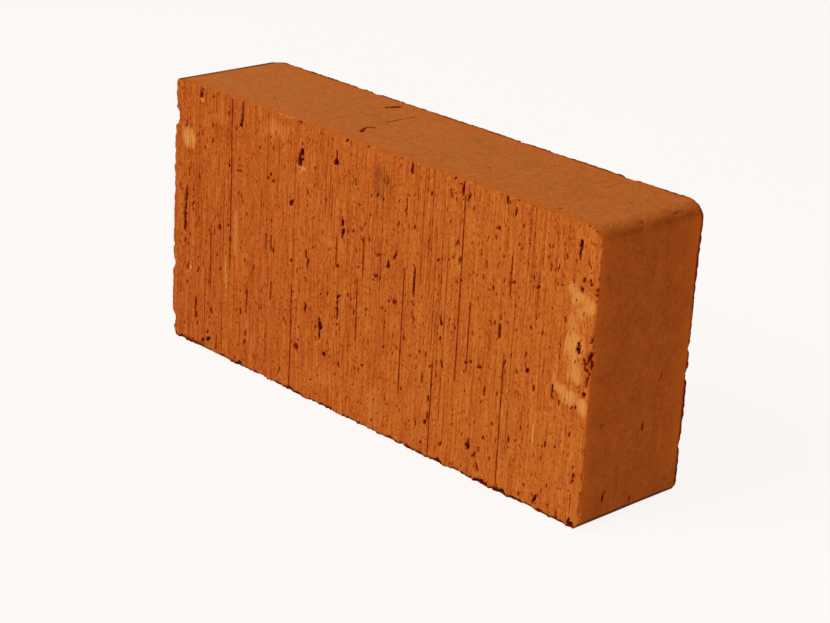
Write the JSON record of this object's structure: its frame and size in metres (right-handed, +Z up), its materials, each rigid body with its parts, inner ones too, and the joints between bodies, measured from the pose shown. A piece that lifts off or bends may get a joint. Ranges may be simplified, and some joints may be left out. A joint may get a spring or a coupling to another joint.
{
  "type": "building brick",
  "caption": "Solid wire-cut clay brick standing on its long narrow face, with scored large faces and smooth rounded ends",
  "frame": {"origin": "middle of the long narrow face that the brick rests on", "axes": "+X along the brick's length, +Y through its thickness from the front wire-cut face to the back one, +Z up across its width"},
  "size_m": [0.24, 0.055, 0.115],
  "materials": {
    "fired_clay": "matte, unglazed, slightly porous"
  },
  "bodies": {
    "root": {"brick_body": "fired_clay"}
  },
  "joints": []
}
